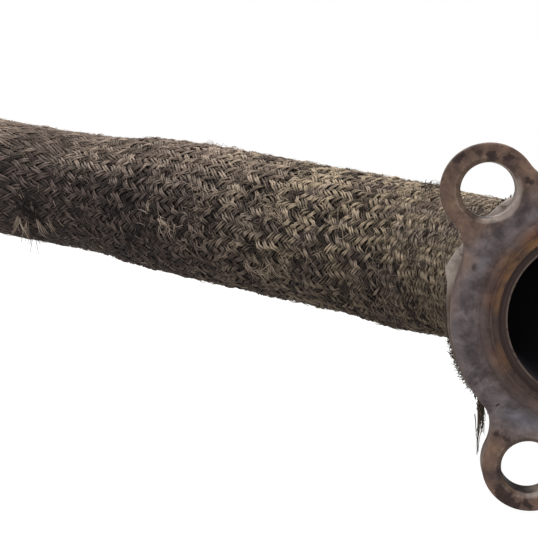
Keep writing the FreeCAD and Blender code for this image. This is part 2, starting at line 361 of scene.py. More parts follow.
@dataclass(frozen=True)
class FlangeFinish:
    """Worn steel plate: bluish face, rust round the bore, brown sooty ears, and hole walls and chamfers with
    painted light: pale clean metal on the side that faces the light, and soot, olive grime and painted shade
    on the other, with a painted highlight round each chamfer's edge.

    Each zone gives the distances from the axis at which its effect starts and is full.
    """

    name: str
    end: EndFrame
    ears: tuple[Mark, ...]
    soot_marks: tuple[Mark, ...] = ()
    rust_marks: tuple[Mark, ...] = ()
    bolt_hole: float = 4.5 * MM
    brown_zone: Span = (20.5 * MM, 25.5 * MM)
    heat_zone: Span = (20.5 * MM, 16.6 * MM)
    rust_zone: Span = (19.5 * MM, 16.7 * MM)
    turned_zone: Span = (21.5 * MM, 18.5 * MM)
    patch_zone: Span = (19.0 * MM, 27.0 * MM)
    steel: Colour = tint(124, 115, 117)
    steel_dark: Colour = tint(72, 63, 65)
    steel_blue: Colour = tint(128, 127, 136)
    brown: Colour = tint(142, 113, 94)
    brown_dark: Colour = tint(80, 60, 52)
    rust: Colour = tint(138, 100, 70)
    rust_red: Colour = tint(92, 62, 53)
    soot: Colour = tint(44, 29, 29)
    lit_bare: Colour = tint(178, 166, 158)
    olive: Colour = tint(96, 84, 62)

    def make(self) -> bpy.types.Material:
        """Builds the material.

        Returns:
            The finished material.
        """
        tree = FinishTree(self.name)
        place = tree.place()
        right, rise, _, radius = self.end.measure(tree)
        broad = tree.noise(place, 90, 4, 0.6, 0.4)
        cloud = tree.noise(place, 260, 4, 0.62, 0.3)
        grain = tree.noise(place, 1500, 3, 0.6)
        turned = tree.noise(tree.vector(radius * 1400, broad * 0.8, 0.0), 1.0, 3, 0.7)
        wobble = (cloud - 0.5) * (1.6 * MM)
        ragged = radius + wobble

        colour = tree.mix(cloud.rise(0.33, 0.68), self.steel_dark, self.steel)
        colour = tree.mix((broad - rise * 4).rise(0.46, 0.66) * 0.8, colour, self.steel_blue)
        to_brown = (radius + (broad - 0.5) * (12.0 * MM)).rise(*self.brown_zone)
        brown = tree.mix(cloud.rise(0.3, 0.7), self.brown_dark, self.brown)
        colour = tree.mix(to_brown * 0.92, colour, brown)

        inner = ragged.rise(*self.heat_zone)
        colour = tree.mix(inner * 0.8, colour, self.brown_dark)
        rust = tree.mix(cloud.rise(0.4, 0.62), self.rust_red, self.rust)
        heat = inner * 0.25 * broad.rise(0.45, 0.65)
        near_bore = ragged.rise(*self.rust_zone) * cloud.rise(0.25, 0.5)
        for mark in self.rust_marks:
            heat = heat.largest(self.end.spot(right, rise, mark) * near_bore)
        colour = tree.mix(heat, colour, rust)
        rings = tree.mix(turned, (0.45, 0.44, 0.43), (1.35, 1.3, 1.25))
        colour = tree.shade(radius.rise(*self.turned_zone) * 0.55, colour, rings)

        speck = tree.spots(place, 210).rise(0.2, 0.1) * tree.noise(place, 120, 2).rise(0.54, 0.64)
        patch = tree.noise(place, 190, 3, 0.5).rise(0.64, 0.73) * radius.rise(*self.patch_zone)
        grime = speck.largest(patch)
        ragged_right = right + (tree.noise(place, 420, 4, 0.65) - 0.5) * (4.2 * MM)
        ragged_rise = rise + (tree.noise(place, 470, 4, 0.65, 0.4) - 0.5) * (3.4 * MM)
        for mark in self.soot_marks:
            spot = self.end.spot(ragged_right, ragged_rise, mark)
            grime = grime.largest((spot + (grain - 0.5) * 0.4).rise(0.05, 0.95) * spot.rise(0.0, 0.2))
        colour = tree.mix(grime * 0.85, colour, self.soot)
        walls: Optional[Value] = None
        for ear in self.ears:
            side = right - ear.right
            height = rise - ear.rise
            span = (side * side + height * height) ** 0.5
            # Painted light round each bolt hole: the chamfer and the wall are pale clean metal on the side
            # that faces the light, and dark with soot, olive grime and painted shade on the other.
            entry = (span + wobble * 0.25).rise(self.bolt_hole + 1.0 * MM, self.bolt_hole + 0.45 * MM)
            lit = ((side * 0.86 - height * 0.5) / span + (cloud - 0.5) * 1.1).rise(0.1, 0.8)
            dark = tree.mix(cloud.rise(0.35, 0.65), self.soot, self.olive)
            colour = tree.mix(entry * (0.5 + 0.25 * lit), colour, tree.mix(lit, dark, self.lit_bare))
            # Painted highlight: a thin pale ring on the chamfer's edge.
            lip = (span + wobble * 0.1).ring(self.bolt_hole + 0.85 * MM, 0.3 * MM) * cloud.rise(0.42, 0.6)
            colour = tree.mix(lip * 0.35, colour, self.lit_bare)
            wall = span.rise(self.bolt_hole + 0.12 * MM, self.bolt_hole + 0.04 * MM)
            bright = ((side * 0.9 + height * 0.3) / span + (cloud - 0.5) * 0.8).rise(-0.35, 0.3)
            colour = tree.mix(wall, colour, tree.mix(bright, self.soot, self.lit_bare))
            walls = wall if walls is None else walls.largest(wall)
        colour = tree.shade(0.8, colour, tree.mix(grain, (0.6, 0.59, 0.58), (1.35, 1.32, 1.3)))
        scuff = tree.noise(place, 330, 4, 0.7, 0.6)
        colour = tree.shade(0.75, colour, tree.mix(scuff.rise(0.3, 0.7), (0.66, 0.64, 0.63), (1.3, 1.3, 1.3)))

        relief = cloud * 0.6 + grain * 0.25 + tree.noise(place, 600, 4) * 0.5 - grime * 0.2 + turned * 0.15
        roughness = 0.5 + 0.2 * cloud + 0.16 * grime + 0.06 * grain
        metal = (0.5 - 0.35 * to_brown.largest(grime).largest(inner)) + 0.2 * walls
        return tree.surface(
            Base_Color=colour, Metallic=metal, Roughness=roughness,
            Normal=tree.bump(relief, 0.4, 0.25 * MM),
        )


@dataclass(frozen=True)
class WeldFinish:
    """Dark brown weld metal, orange where it has rusted."""

    name: str
    end: EndFrame
    rust_marks: tuple[Mark, ...] = ()
    brown: Colour = tint(80, 62, 56)
    light: Colour = tint(146, 106, 68)
    dark: Colour = tint(48, 37, 35)

    def make(self) -> bpy.types.Material:
        """Builds the material.

        Returns:
            The finished material.
        """
        tree = FinishTree(self.name)
        place = tree.place()
        right, rise, _, radius = self.end.measure(tree)
        cloud = tree.noise(place, 260, 4, 0.6, 0.5)
        fine = tree.noise(place, 1100, 4, 0.65)
        turned = tree.noise(tree.vector(radius * 1800, cloud * 0.6, 0.0), 1.0, 3, 0.7)
        colour = tree.mix(fine.rise(0.45, 0.68) * 0.8, self.brown, self.dark)
        heat = cloud.rise(0.6, 0.75) * 0.35
        for mark in self.rust_marks:
            heat = heat.largest(self.end.spot(right, rise, mark) * cloud.rise(0.3, 0.52))
        colour = tree.mix(heat, colour, self.light)
        colour = tree.shade(0.5, colour, tree.mix(turned, (0.4, 0.4, 0.4), (1.4, 1.35, 1.3)))
        height = cloud * 0.4 + fine * 0.4 + turned * 0.3
        return tree.surface(
            Base_Color=colour, Metallic=0.15, Roughness=0.6 + 0.2 * fine,
            Normal=tree.bump(height, 0.6, 0.25 * MM),
        )


@dataclass(frozen=True)
class TubeFinish:
    """Dull tube steel, black with soot on its inner wall, with a worn thin edge at its mouth."""

    name: str
    end: EndFrame
    face: float = 0.7 * MM
    bore: float = 13.7 * MM
    soot: Colour = tint(52, 48, 55)
    brown: Colour = tint(76, 58, 53)
    dark: Colour = tint(44, 34, 33)
    lip: Colour = tint(140, 122, 110)

    def make(self) -> bpy.types.Material:
        """Builds the material.

        Returns:
            The finished material.
        """
        tree = FinishTree(self.name)
        place = tree.place()
        _, _, depth, radius = self.end.measure(tree)
        cloud = tree.noise(place, 160, 4, 0.6)
        fine = tree.noise(place, 900, 3, 0.6)
        turned = tree.noise(tree.vector(radius * 2200, cloud * 0.6, 0.0), 1.0, 3, 0.7)
        mouth = depth.rise(self.face + 3.2 * MM, self.face) * cloud.rise(0.3, 0.6)
        colour = tree.mix(mouth * 0.85, self.soot, self.dark)
        front = depth.rise(self.face + 0.3 * MM, self.face + 0.05 * MM)
        colour = tree.mix(front, colour, tree.mix(turned.rise(0.35, 0.65), self.dark, self.brown))
        edge = front * radius.ring(self.bore + 0.1 * MM, 0.32 * MM) * fine.rise(0.3, 0.55)
        colour = tree.mix(edge * 0.6, colour, self.lip)
        return tree.surface(
            Base_Color=colour, Metallic=0.2, Roughness=0.7 + 0.15 * fine,
            Normal=tree.bump(cloud + fine * 0.5, 0.4, 0.2 * MM),
        )


@dataclass(frozen=True)
class CollarFinish:
    """Pale dull sheet steel with brown stains and a painted highlight along its bent edge.

    Below the heights of its lower dark zone it is darker, and a painted shadow darkens it in a band at the
    height of the sleeve's gap.
    """

    name: str
    end: EndFrame
    rim: float = 23.8 * MM
    lower_dark_zone: Span = (4.0 * MM, -2.0 * MM)
    gap_height: float = 11.8 * MM
    gap_half: float = 3.2 * MM
    pale: Colour = tint(196, 184, 174)
    grey: Colour = tint(150, 138, 128)
    stain: Colour = tint(92, 74, 64)
    shadow: Colour = tint(26, 20, 18)

    def make(self) -> bpy.types.Material:
        """Builds the material.

        Returns:
            The finished material.
        """
        tree = FinishTree(self.name)
        place = tree.place()
        _, rise, _, radius = self.end.measure(tree)
        cloud = tree.noise(place, 170, 4, 0.6, 0.4)
        fine = tree.noise(place, 1100, 4, 0.6)
        colour = tree.mix(cloud.rise(0.36, 0.62), self.pale, self.grey)
        stains = tree.noise(place, 330, 4, 0.65, 0.8).rise(0.54, 0.68)
        colour = tree.mix(stains * 0.75, colour, self.stain)
        # Painted highlight: the bent rim is lightened towards the pale colour.
        edge = radius.rise(self.rim - 0.35 * MM, self.rim) * fine.rise(0.4, 0.6)
        colour = tree.mix(edge * 0.6, colour, self.pale)
        # Darker towards the bottom, in the stain colour.
        low = (rise + (cloud - 0.5) * (6.0 * MM)).rise(*self.lower_dark_zone)
        colour = tree.mix(low * 0.8, colour, self.stain)
        # Painted shadow: a dark band at the height of the gap behind the flange's ear.
        gap = (rise + (cloud - 0.5) * (2.0 * MM)).ring(self.gap_height, self.gap_half)
        colour = tree.mix(gap * 0.95, colour, self.shadow)
        return tree.surface(
            Base_Color=colour, Metallic=0.15, Roughness=0.52 + 0.22 * cloud,
            Normal=tree.bump(cloud + fine * 0.4, 0.4, 0.3 * MM),
        )


class FibreTone(Enum):
    """Kinds of fibrous surface."""

    YARN = "yarn"
    FUZZ = "fuzz"
    LINING = "lining"


@dataclass(frozen=True)
class FibreFinish:
    """Worn mineral fibre: straw near the flange, a darker, more purple stain away from it, and painted shade
    below, in the gaps between the yarns and by the collar's edge.

    Each zone gives the places at which its effect starts and is full: the straw and far zones along X, the
    zone of the painted shadow by the collar along Y and the rest along Z.
    """

    name: str
    tone: FibreTone
    light: Colour = tint(230, 208, 188)
    middle: Colour = tint(138, 118, 103)
    dark: Colour = tint(64, 51, 46)
    purple: Colour = tint(104, 86, 83)
    straw: Colour = tint(226, 204, 172)
    rust: Colour = tint(112, 82, 60)
    painted_shade: Colour = tint(24, 16, 15)
    top_zone: Span = (6.0 * MM, 15.0 * MM)
    low_zone: Span = (1.0 * MM, -12.0 * MM)
    far_low_zone: Span = (13.5 * MM, 3.5 * MM)
    straw_zone: Span = (-90.0 * MM, -50.0 * MM)
    far_zone: Span = (-55.0 * MM, -100.0 * MM)
    collar_shadow_zone: Span = (16.5 * MM, 13.8 * MM)

    def make(self) -> bpy.types.Material:
        """Builds the material.

        Returns:
            The finished material.
        """
        tree = FinishTree(self.name)
        place = tree.place()
        if self.tone is FibreTone.LINING:
            # The lining is coloured as painted shade, near black, for the gaps between the yarns.
            weave = tree.noise(place, 700, 3)
            colour = tree.mix(weave * 0.5, self.painted_shade, self.dark)
            return tree.surface(
                Base_Color=colour, Roughness=0.95, Normal=tree.bump(weave, 0.5, 0.3 * MM),
            )
        along, across, tone, height = (tree.attribute(name) for name in STRAND_COLUMNS)
        streak = tree.noise(tree.vector(across * 2.2, along * 0.5, tone * 9.0), 2.4, 4, 0.7, 0.25)
        hair = tree.noise(tree.vector(across * 6.0, along * 0.9, tone * 5.0), 2.0, 3, 0.6)
        stain = tree.noise(place, 38, 4, 0.55, 0.6)
        x, y, z = (tree.node("ShaderNodeSeparateXYZ", None, {0: place}, axis) for axis in "XYZ")
        patch = tree.noise(tree.vector(x * 0.35, y, z), 190, 3, 0.6, 0.3)
        spot = tree.noise(place, 420, 3, 0.6)

        mixture = (streak * 0.8 + hair * 0.45 + tone * 1.0 + patch * 0.35 - 0.8).rise(0.0, 1.0)
        sway = stain - 0.5
        top = (z + sway * (8.0 * MM)).rise(*self.top_zone)
        colour = tree.mix(mixture, self.dark, self.light)
        # Tone evened a little towards the middle colour everywhere, and more on top as painted light where
        # the light falls.
        colour = tree.mix(0.12 + 0.33 * top, colour, self.middle)
        straw = tree.mix(mixture.rise(0.05, 0.75), self.dark, self.straw)
        colour = tree.mix(x.rise(*self.straw_zone) * patch.rise(0.36, 0.52) * 0.75, colour, straw)
        # Painted shade below, stronger away from the flange, joined with a darker purple stain far from it;
        # light loose fibres are kept out of the painted shade.
        away = (x + sway * (30.0 * MM)).rise(*self.far_zone)
        level = z + sway * (14.0 * MM)
        low = level.rise(*self.low_zone) * (0.55 + 0.45 * away)
        shade_and_stain = low.largest(away * level.rise(*self.far_low_zone))
        if self.tone is FibreTone.FUZZ:
            shade_and_stain = shade_and_stain * tone.rise(0.95, 0.5)
        colour = tree.mix(shade_and_stain * 0.86, colour, tree.mix(mixture, self.painted_shade, self.purple))
        colour = tree.mix(stain.rise(0.5, 0.62) * 0.45, colour, tree.mix(mixture, self.dark, self.purple))
        colour = tree.mix(spot.rise(0.58, 0.7) * patch.rise(0.5, 0.62) * 0.4, colour, self.rust)
        if self.tone is FibreTone.YARN:
            # Painted shade in the gaps: where a yarn dips under, between crossings and on each strand's
            # underside, weaker on top.
            colour = tree.mix(height.rise(0.98, 0.12) * (0.92 - 0.42 * top), colour, self.painted_shade)
            # Painted shadow of the collar on the sleeve next to its edge.
            colour = tree.mix(y.rise(*self.collar_shadow_zone) * 0.85, colour, self.painted_shade)
        else:
            colour = tree.mix(tone.rise(0.7, 1.0) * 0.5, colour, self.light)
        relief = streak * 0.7 + hair * 0.5
        return tree.surface(
            Base_Color=colour, Roughness=0.88 - 0.12 * streak,
            Normal=tree.bump(relief, 1.0, 0.3 * MM),
        )


@dataclass
class Route:
    """Centre line of the pipe: straight runs joined by two bends in the horizontal plane."""

    near_straight: float = 14.0 * MM
    elbow_radius: float = 46.0 * MM
    elbow_turn: float = math.radians(67.0)
    long_straight: float = 100.0 * MM
    sweep_radius: float = 120.0 * MM
    sweep_turn: float = math.radians(12.5)
    far_straight: float = 45.0 * MM
    step: float = 0.25 * MM
    marks: np.ndarray = field(init=False)
    points: np.ndarray = field(init=False)
    turns: np.ndarray = field(init=False)

    def __post_init__(self) -> None:
        """Lays out closely spaced marks along the route."""
        runs = [
            (self.near_straight, 0.0),
            (self.elbow_radius * self.elbow_turn, self.elbow_turn),
            (self.long_straight, 0.0),
            (self.sweep_radius * self.sweep_turn, self.sweep_turn),
            (self.far_straight, 0.0),
        ]
        count = int(self.length / self.step) + 2
        self.marks = np.linspace(0, self.length, count)
        starts = np.cumsum([0.0] + [length for length, _ in runs])
        headings = np.cumsum([0.0] + [turn for _, turn in runs])
        self.turns = np.interp(self.marks, starts, headings)
        middle = (self.turns[1:] + self.turns[:-1]) / 2
        gap = np.diff(self.marks)
        x = np.concatenate([[0.0], np.cumsum(-np.sin(middle) * gap)])
        y = np.concatenate([[0.0], np.cumsum(np.cos(middle) * gap)])
        self.points = np.stack([x, y, np.zeros(count)], 1)

    @property
    def length(self) -> float:
        """Length from one mounting face to the other.

        Returns:
            The length.
        """
        elbow = self.elbow_radius * self.elbow_turn
        sweep = self.sweep_radius * self.sweep_turn
        return self.near_straight + elbow + self.long_straight + sweep + self.far_straight

    def on_surface(self, station: np.ndarray, angle: np.ndarray, radius: np.ndarray) -> np.ndarray:
        """Points round the centre line.

        Args:
            station: distance along the route.
            angle: angle from the outside of the bends, towards +Z.
            radius: distance from the centre line.

        Returns:
            An array of points, one row each.
        """
        turn = np.interp(station, self.marks, self.turns)
        x = np.interp(station, self.marks, self.points[:, 0])
        y = np.interp(station, self.marks, self.points[:, 1])
        side = radius * np.cos(angle)
        return np.stack([x + side * np.cos(turn), y + side * np.sin(turn), radius * np.sin(angle)], -1)

    def outward(self, station: np.ndarray, angle: np.ndarray) -> np.ndarray:
        """Directions away from the centre line.

        Args:
            station: distance along the route.
            angle: angle from the outside of the bends, towards +Z.

        Returns:
            An array of unit vectors, one row each.
        """
        turn = np.interp(station, self.marks, self.turns)
        side = np.cos(angle)
        return np.stack([side * np.cos(turn), side * np.sin(turn), np.sin(angle)], -1)


def read_table(rows: Table, station: Any) -> Any:
    """Reads a table at places along the route.

    Args:
        rows: pairs of a station in millimetres and the value there.
        station: distance along the route, or an array of them.

    Returns:
        The values at those stations.
    """
    marks, values = zip(*rows)
    return np.interp(station / MM, marks, values)


def turn_between(angle: float, other: float) -> float:
    """Smallest turn from one angle to another, with its sign."""
    return (other - angle + math.pi) % (2 * math.pi) - math.pi


def new_piece(name: str, mesh: bpy.types.Mesh, finish: bpy.types.Material) -> bpy.types.Object:
    """Puts a finished mesh into the scene.

    Args:
        name: the piece's name.
        mesh: its mesh.
        finish: its material.

    Returns:
        The new object.
    """
    mesh.materials.clear()
    mesh.materials.append(finish)
    piece = bpy.data.objects.new(name, mesh)
    bpy.context.scene.collection.objects.link(piece)
    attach(piece, "root")
    log.info("%s: %d faces", name, len(mesh.polygons))
    return piece


def tube_template(rings: int, sides: int) -> tuple[bpy.types.Mesh, np.ndarray, np.ndarray]:
    """Closed round tube whose points can be carried to any path.

    Args:
        rings: rings of points along it, at least three.
        sides: points in each ring.

    Returns:
        The mesh, the number of each point's ring, and each point's angle in its ring.
    """
    shape = bmesh.new()
    bmesh.ops.create_cone(
        shape, cap_ends=True, cap_tris=False, segments=sides, radius1=1, radius2=1, depth=rings - 1,
    )
    long_edges = [edge for edge in shape.edges if abs(edge.verts[0].co.z - edge.verts[1].co.z) > 0.5]
    bmesh.ops.subdivide_edges(shape, edges=long_edges, cuts=rings - 2, use_grid_fill=True)
    mesh = bpy.data.meshes.new("tube_template")
    shape.to_mesh(mesh)
    shape.free()
    flat = np.empty(len(mesh.vertices) * 3)
    mesh.vertices.foreach_get("co", flat)
    place = flat.reshape(-1, 3)
    ring = np.rint(place[:, 2] + (rings - 1) / 2).astype(int)
    return mesh, ring, np.arctan2(place[:, 1], place[:, 0])


class StrandBundle:
    """Many strands of one mesh, each a closed tube along its own path."""

    def __init__(self, name: str, sides: int) -> None:
        """Starts an empty bundle.

        Args:
            name: name of the mesh.
            sides: points round each strand.
        """
        self.name = name
        self.sides = sides
        self.shape = bmesh.new()
        self.columns: dict[str, list[np.ndarray]] = {key: [] for key in STRAND_COLUMNS}
        self.places: list[np.ndarray] = []
        self.templates: dict[int, tuple[bpy.types.Mesh, np.ndarray, np.ndarray]] = {}

    def add(
        self, path: np.ndarray, normal: np.ndarray, width: np.ndarray, thick: np.ndarray,
        tone: np.ndarray, height: np.ndarray,
    ) -> None:
        """Adds one strand.

        Args:
            path: points of its centre line.
            normal: its flat side's direction at each point.
            width: its width at each point.
            thick: its thickness at each point.
            tone: lightness of 0 to 1 at each point.
            height: 1 where it lies on top and 0 where it dips under.
        """
        count = len(path)
        if count not in self.templates:
            self.templates[count] = tube_template(count, self.sides)
        mesh, ring, angle = self.templates[count]
        tangent = np.gradient(path, axis=0)
        tangent /= np.linalg.norm(tangent, axis=1)[:, None]
        side = np.cross(normal, tangent)
        side /= np.linalg.norm(side, axis=1)[:, None]
        face = np.cross(tangent, side)
        reach = np.concatenate([[0.0], np.cumsum(np.linalg.norm(np.diff(path, axis=0), axis=1))])
        across = np.cos(angle)
        lift = np.sin(angle)
        points = path[ring]
        points = points + side[ring] * (width[ring] / 2 * across)[:, None]
        points = points + face[ring] * (thick[ring] / 2 * lift)[:, None]
        self.shape.from_mesh(mesh)
        self.places.append(points)
        self.columns["along"].append(reach[ring] / MM)
        self.columns["across"].append(across)
        self.columns["tone"].append(tone[ring])
        # The height also falls on each strand's underside, where the yarn material paints shade.
        self.columns["height"].append(np.clip(height[ring] * 0.75 + lift * 0.25, 0, 1))

    def add_hair(self, path: np.ndarray, normal: np.ndarray, thick: np.ndarray, tone: float) -> None:
        """Adds one round fibre of a single tone that lies on top."""
        self.add(path, normal, thick, thick, np.full(len(path), tone), np.ones(len(path)))

    def finish(self) -> bpy.types.Mesh:
        """Ends the bundle.

        Returns:
            Its mesh, with the numbers that its material reads.
        """
        mesh = bpy.data.meshes.new(self.name)
        self.shape.to_mesh(mesh)
        self.shape.free()
        mesh.vertices.foreach_set("co", np.concatenate(self.places).ravel())
        for key, parts in self.columns.items():
            layer = mesh.attributes.new(key, "FLOAT", "POINT")
            layer.data.foreach_set("value", np.concatenate(parts).astype(np.float32))
        mesh.polygons.foreach_set("use_smooth", np.ones(len(mesh.polygons), dtype=bool))
        mesh.update()
        for template, _, _ in self.templates.values():
            bpy.data.meshes.remove(template)
        return mesh


def drift(dice: np.random.RandomState, count: int, spacing: int) -> np.ndarray:
    """Smooth random curve with values of about -1 to 1.

    Args:
        dice: seeded source of random numbers.
        count: number of values.
        spacing: values between its turning points.

    Returns:
        The values.
    """
    knots = dice.normal(0, 0.6, count // spacing + 4)
    spots = np.arange(count) / spacing + dice.uniform(0, 1)
    first = np.floor(spots).astype(int)
    part = spots - first
    part = part * part * (3 - 2 * part)
    return knots[first] * (1 - part) + knots[first + 1] * part


class LieField:
    """Smooth random field over the sleeve, made of a few waves."""

    def __init__(self, dice: np.random.RandomState, waves: int, shortest: float, longest: float) -> None:
        """Draws the waves.

        Args:
            dice: seeded source of random numbers.
            waves: how many.
            shortest: shortest wave along the route.
            longest: longest wave along the route.
        """
        self.along = 2 * math.pi / dice.uniform(shortest, longest, waves)
        self.round = dice.randint(-5, 6, waves)
        self.phase = dice.uniform(0, 2 * math.pi, waves)

    def at(self, station: np.ndarray, angle: np.ndarray) -> np.ndarray:
        """Values of about -1 to 1.

        Args:
            station: distance along the route.
            angle: angle round it.

        Returns:
            The field there.
        """
        waves = zip(self.along, self.round, self.phase)
        total = sum(np.sin(station * k + angle * m + shift) for k, m, shift in waves)
        return total / math.sqrt(len(self.phase))


@dataclass
class BraidedSleeve:
    """Heat sleeve: two sets of yarns, each over two and under two of the other set.

    The tables run along the route: slants in degrees, crests in millimetres, and the cover, mess, flattening
    and evenness of tone as shares.
    """

    route: Route
    start: float = 7.2 * MM
    yarns: int = 56
    strands: int = 2
    thickness: float = 0.52 * MM
    lift: float = 0.3 * MM
    proud: float = 0.6 * MM
    core: float = 15.36 * MM
    girth: float = 17.2 * MM
    squeezed_over: float = 1.2 * MM
    unevenness: float = 0.09 * MM
    bulge: float = 0.13 * MM
    calm_end: float = 20.0 * MM
    calm_ramp: float = 10.0 * MM
    end_ramp: float = 4.0 * MM
    slide_reach: float = 0.55 * MM
    turn_reach: float = 0.03
    broken_share: float = 0.04
    broken_by_wear: float = 0.14
    raised_share: float = 0.03
    raised_by_wear: float = 0.09
    lining_rings: int = 200
    lining_sides: int = 64
    lining_inset: float = 0.3 * MM
    lining_depth: float = 0.5 * MM
    lining_wall: float = 0.12 * MM
    cover: Table = ((66, 0.74), (92, 0.86))
    mess: Table = ((70, 0.7), (98, 1.2), (150, 1.2), (175, 0.6))
    flattening: Table = ((146, 1.0), (172, 0.72))
    tone_change: Table = ((48, 0.4), (70, 1.0))
    slants: Table = (
        (0, 60), (60, 62), (76, 54), (96, 47), (146, 43), (164, 32), (176, 24), (212, 21),
        (222, 28), (231, 42),
    )
    upper_crest: Table = (
        (0, 16.1), (58, 16.0), (66, 16.8), (76, 17.1), (92, 17.5), (108, 17.9), (122, 18.4), (140, 18.6),
        (148, 18.3), (156, 17.4), (164, 16.9), (178, 16.8), (192, 16.9), (206, 17.5),
        (216, 17.2), (225, 16.2),
    )
    lower_crest: Table = (
        (0, 16.1), (54, 16.3), (62, 17.4), (68, 17.7), (76, 17.4), (84, 17.1), (96, 17.3), (114, 17.5),
        (126, 17.7), (143, 17.95), (154, 17.3), (162, 17.0), (170, 17.2), (186, 17.7), (200, 17.6),
        (216, 17.2), (225, 16.2),
    )
    seed: int = 7
    bulk: LieField = field(init=False)
    slide: LieField = field(init=False)
    turn: LieField = field(init=False)
    wear: LieField = field(init=False)

    def __post_init__(self) -> None:
        """Draws the sleeve's uneven lie."""
        dice = np.random.RandomState(self.seed)
        self.bulk = LieField(dice, 5, 9 * MM, 24 * MM)
        self.slide = LieField(dice, 6, 8 * MM, 22 * MM)
        self.turn = LieField(dice, 6, 8 * MM, 22 * MM)
        self.wear = LieField(dice, 8, 7 * MM, 30 * MM)

    @property
    def last(self) -> float:
        """Station where the sleeve ends."""
        return self.route.length - self.start

    @property
    def spacing(self) -> float:
        """Distance round the sleeve from one crossing to the next."""
        return math.pi * self.girth / self.yarns

    def crest(self, station: np.ndarray, angle: np.ndarray) -> np.ndarray:
        """Outer radius of the sleeve.

        Args:
            station: distance along the route.
            angle: angle round it.

        Returns:
            The radius.
        """
        upper, lower = (read_table(table, station) * MM for table in (self.upper_crest, self.lower_crest))
        top = 0.5 + 0.5 * np.sin(angle)
        inward = np.minimum(station, self.route.length - station) - self.calm_end
        calm = np.clip(inward / self.calm_ramp, 0, 1)
        return upper * top + lower * (1 - top) + self.bulk.at(station, angle) * self.bulge * calm

    def crossings(self) -> np.ndarray:
        """Stations where yarns cross, closer together where the sleeve is pushed up near the flange.

        Returns:
            The stations, from one end of the sleeve to the other.
        """
        here = self.start
        stations = [here]
        while here < self.last:
            angle = math.radians(float(read_table(self.slants, here)))
            here = here + self.spacing / math.tan(angle)
            stations.append(here)
        stations[-1] = self.last
        return np.array(stations)

    def build(self) -> None:
        """Makes both sets of yarns and the lining under them."""
        stations = self.crossings()
        finish = FibreFinish("braid_yarn", FibreTone.YARN).make()
        half = self.yarns // 2
        for hand, name in ((1, "sleeve_yarns_right"), (-1, "sleeve_yarns_left")):
            dice = np.random.RandomState(self.seed + 10 + hand)
            for part, first in enumerate((0, half)):
                bundle = StrandBundle(name, 4)
                for number in range(first, first + half):
                    self._yarn(bundle, dice, stations, hand, number)
                piece = new_piece(f"{name}_{part + 1}", bundle.finish(), finish)
                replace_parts(piece, "braided_sleeve")
        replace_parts(self._lining(), "braided_sleeve")

    def _yarn(
        self, bundle: StrandBundle, dice: np.random.RandomState, stations: np.ndarray, hand: int, number: int,
    ) -> None:
        """Adds one yarn's strands to its set.

        Args:
            bundle: the mesh of the set.
            dice: seeded source of random numbers.
            stations: where yarns cross.
            hand: 1 for the set that turns with the angle and -1 for the other.
            number: the yarn's place in its set.
        """
        count = len(stations)
        offset = 0 if hand > 0 else 1
        firsts = np.arange(offset, count - 2, 2)
        steps = np.stack([firsts, firsts + 0.5, firsts + 1.0], 1).ravel()
        steps = np.concatenate([[0.0], steps[steps > 0], [count - 1.0]])
        rings = len(steps)
        place = np.interp(steps, np.arange(count), stations)
        angle = (hand * steps + 2 * number) * math.pi / self.yarns
        beat = steps + 2 * hand * number - offset
        phase = beat % 4
        middle = np.abs(phase % 2 - 0.5) < 0.1
        over = np.where(phase < 1.25, 1.0, -1.0) * np.where(middle, 1.2, 0.8)
        floats = (beat // 2).astype(int)
        floats = floats - floats.min()
        total = floats.max() + 1

        chance = dice.uniform(0, 1, total)
        push = dice.normal(1.0, 0.2, total)
        glow = dice.normal(0.0, 0.2, total)
        worn = np.clip(0.5 + 0.8 * self.wear.at(place, angle), 0, 1)
        broken = chance[floats] < self.broken_share + self.broken_by_wear * worn
        raised = chance[floats] > 1 - self.raised_share - self.raised_by_wear * worn
        rise = over * push[floats]
        rise = np.where(broken & (over > 0), -0.3, rise)
        rise = np.where(raised & (over > 0), rise + 0.9, rise)
        rise = rise * read_table(self.flattening, place)
        # Lower at each float's ends, so the yarn material paints shade at the crossings as well as where the
        # yarn dips under.
        height = np.clip((rise + 1) / 2, 0, 1) * np.where(middle, 1.0, 0.86)

        mess = read_table(self.mess, place)
        cover = read_table(self.cover, place)
        change = read_table(self.tone_change, place)
        jolt = dice.normal(0.0, 0.15, total)
        warped = place + self.slide.at(place, angle) * self.slide_reach * mess
        swung = angle + self.turn.at(place, angle) * self.turn_reach * mess
        slope = np.arctan2(self.spacing, np.interp(steps, np.arange(count), np.gradient(stations)))
        room = 2 * self.spacing * np.cos(slope)
        ends = np.clip(np.minimum(place - self.start, self.last - place) / self.end_ramp, 0, 1)
        base = dice.normal(0.5, 0.09)
        for strand in range(self.strands):
            side = ((strand + 0.5) / self.strands - 0.5) * cover
            shift = room * (side + 0.12 * drift(dice, rings, 4) + jolt[floats] * mess * middle)
            here = warped * ends + place * (1 - ends) - hand * np.sin(slope) * shift
            here = np.clip(here, self.start, self.last)
            crest = self.crest(here, swung)
            squeeze = np.clip((crest - self.core) / self.squeezed_over, 0.5, 1.0)
            bed = crest - self.proud * squeeze
            turned = swung + np.cos(slope) * shift / bed
            level = (rise * self.lift + drift(dice, rings, 3) * self.unevenness) * squeeze
            path = self.route.on_surface(here, turned, bed + level)
            normal = self.route.outward(here, turned)
            width = room / self.strands * cover * (1.02 + 0.18 * drift(dice, rings, 3))
            width = width * np.where(middle, 1.1, 0.9) * np.where(broken, 0.6, 1.0)
            thick = self.thickness * squeeze * (1 + 0.14 * drift(dice, rings, 4))
            tone = base + glow[floats] * change + 0.12 * drift(dice, rings, 4)
            tone = np.clip(np.where(raised, tone + 0.3, tone), 0, 1)
            bundle.add(path, normal, width, thick, tone, height)

